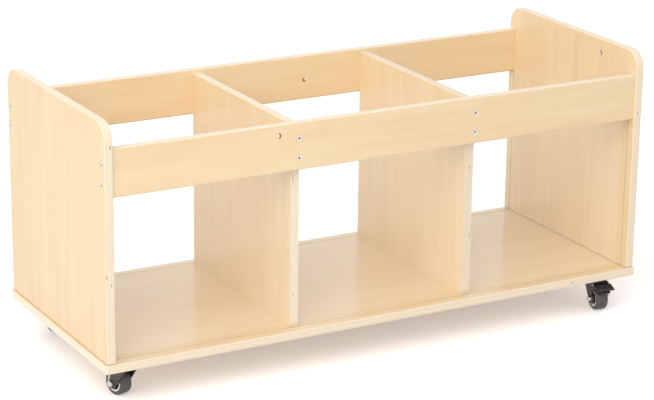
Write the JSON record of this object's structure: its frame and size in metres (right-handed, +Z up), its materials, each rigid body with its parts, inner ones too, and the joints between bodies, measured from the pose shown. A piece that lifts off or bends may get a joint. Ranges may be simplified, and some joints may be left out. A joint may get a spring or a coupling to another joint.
{
  "type": "picture book browser bin",
  "caption": "Low open plywood trough for picture books, with raised ends, top rails, dividers and clear front and back sheets, on plain and braked swivel castors.",
  "frame": {"origin": "on the floor under the middle of the base board", "axes": "+X along the bin to its right end, +Y from front to back, +Z up"},
  "size_m": [1.2, 0.4764, 0.553],
  "materials": {
    "birch_plywood": "satin clear lacquer",
    "clear_acrylic": "polished clear",
    "zinc_plated_steel": "bright zinc plate",
    "black_steel": "satin black",
    "black_plastic": "fine grained black",
    "grey_tyre": "smooth dark grey rubber",
    "hub_plastic": "pale rim round a dark hub"
  },
  "bodies": {
    "carcass": {"base_board": "birch_plywood", "left_side_panel": "birch_plywood", "right_side_panel": "birch_plywood", "front_rail": "birch_plywood", "back_rail": "birch_plywood", "left_divider": "birch_plywood", "right_divider": "birch_plywood", "front_clear_sheet": "clear_acrylic", "back_clear_sheet": "clear_acrylic", "front_rail_screw_1": "zinc_plated_steel", "front_rail_screw_2": "zinc_plated_steel", "front_rail_screw_3": "zinc_plated_steel", "front_rail_screw_4": "zinc_plated_steel", "back_rail_screw_1": "zinc_plated_steel", "back_rail_screw_2": "zinc_plated_steel", "back_rail_screw_3": "zinc_plated_steel", "back_rail_screw_4": "zinc_plated_steel", "left_panel_screw_1": "zinc_plated_steel", "left_panel_screw_2": "zinc_plated_steel", "left_panel_screw_3": "zinc_plated_steel", "left_panel_screw_4": "zinc_plated_steel", "right_panel_screw_1": "zinc_plated_steel", "right_panel_screw_2": "zinc_plated_steel", "right_panel_screw_3": "zinc_plated_steel", "right_panel_screw_4": "zinc_plated_steel", "front_left_castor_plate": "black_steel", "front_left_kingpin": "zinc_plated_steel", "front_left_ball_race": "zinc_plated_steel", "front_right_castor_plate": "black_steel", "front_right_kingpin": "zinc_plated_steel", "front_right_ball_race": "zinc_plated_steel", "back_left_castor_plate": "black_steel", "back_left_kingpin": "zinc_plated_steel", "back_left_ball_race": "zinc_plated_steel", "back_right_castor_plate": "black_steel", "back_right_kingpin": "zinc_plated_steel", "back_right_ball_race": "zinc_plated_steel"},
    "front_left_swivel": {"front_left_fork": "black_steel", "front_left_axle_bolt": "zinc_plated_steel", "front_left_axle_nut": "zinc_plated_steel"},
    "front_left_wheel": {"front_left_tyre": "grey_tyre", "front_left_wheel_hub": "hub_plastic"},
    "front_left_brake": {"front_left_brake_pedal": "black_plastic"},
    "front_right_swivel": {"front_right_fork": "black_steel", "front_right_axle_bolt": "zinc_plated_steel", "front_right_axle_nut": "zinc_plated_steel"},
    "front_right_wheel": {"front_right_tyre": "grey_tyre", "front_right_wheel_hub": "hub_plastic"},
    "front_right_brake": {"front_right_brake_pedal": "black_plastic"},
    "back_left_swivel": {"back_left_fork": "black_steel", "back_left_axle_bolt": "zinc_plated_steel", "back_left_axle_nut": "zinc_plated_steel"},
    "back_left_wheel": {"back_left_tyre": "grey_tyre", "back_left_wheel_hub": "hub_plastic"},
    "back_right_swivel": {"back_right_fork": "black_steel", "back_right_axle_bolt": "zinc_plated_steel", "back_right_axle_nut": "zinc_plated_steel"},
    "back_right_wheel": {"back_right_tyre": "grey_tyre", "back_right_wheel_hub": "hub_plastic"}
  },
  "joints": [
    {"name": "front_left_swivel_turn", "type": "hinge", "parent": "carcass", "child": "front_left_swivel", "pos_m": [-0.536, -0.18, 0.06], "axis": [0, 0, 1], "continuous": true},
    {"name": "front_left_wheel_roll", "type": "hinge", "parent": "front_left_swivel", "child": "front_left_wheel", "pos_m": [-0.54206, -0.15885, 0.025], "axis": [-0.9613, -0.2756, 0], "continuous": true},
    {"name": "front_left_brake_press", "type": "hinge", "parent": "front_left_swivel", "child": "front_left_brake", "pos_m": [-0.54372, -0.15308, 0.0555], "axis": [-0.9613, -0.2756, 0], "range_deg": [0, 22]},
    {"name": "front_right_swivel_turn", "type": "hinge", "parent": "carcass", "child": "front_right_swivel", "pos_m": [0.536, -0.18, 0.06], "axis": [0, 0, 1], "continuous": true},
    {"name": "front_right_wheel_roll", "type": "hinge", "parent": "front_right_swivel", "child": "front_right_wheel", "pos_m": [0.53218, -0.20167, 0.025], "axis": [0.9848, -0.1736, 0], "continuous": true},
    {"name": "front_right_brake_press", "type": "hinge", "parent": "front_right_swivel", "child": "front_right_brake", "pos_m": [0.53114, -0.20758, 0.0555], "axis": [0.9848, -0.1736, 0], "range_deg": [0, 22]},
    {"name": "back_left_swivel_turn", "type": "hinge", "parent": "carcass", "child": "back_left_swivel", "pos_m": [-0.536, 0.18, 0.06], "axis": [0, 0, 1], "continuous": true},
    {"name": "back_left_wheel_roll", "type": "hinge", "parent": "back_left_swivel", "child": "back_left_wheel", "pos_m": [-0.51776, 0.1923, 0.025], "axis": [-0.5592, 0.829, 0], "continuous": true},
    {"name": "back_right_swivel_turn", "type": "hinge", "parent": "carcass", "child": "back_right_swivel", "pos_m": [0.536, 0.18, 0.06], "axis": [0, 0, 1], "continuous": true},
    {"name": "back_right_wheel_roll", "type": "hinge", "parent": "back_right_swivel", "child": "back_right_wheel", "pos_m": [0.5428, 0.20092, 0.025], "axis": [-0.9511, 0.309, 0], "continuous": true}
  ]
}
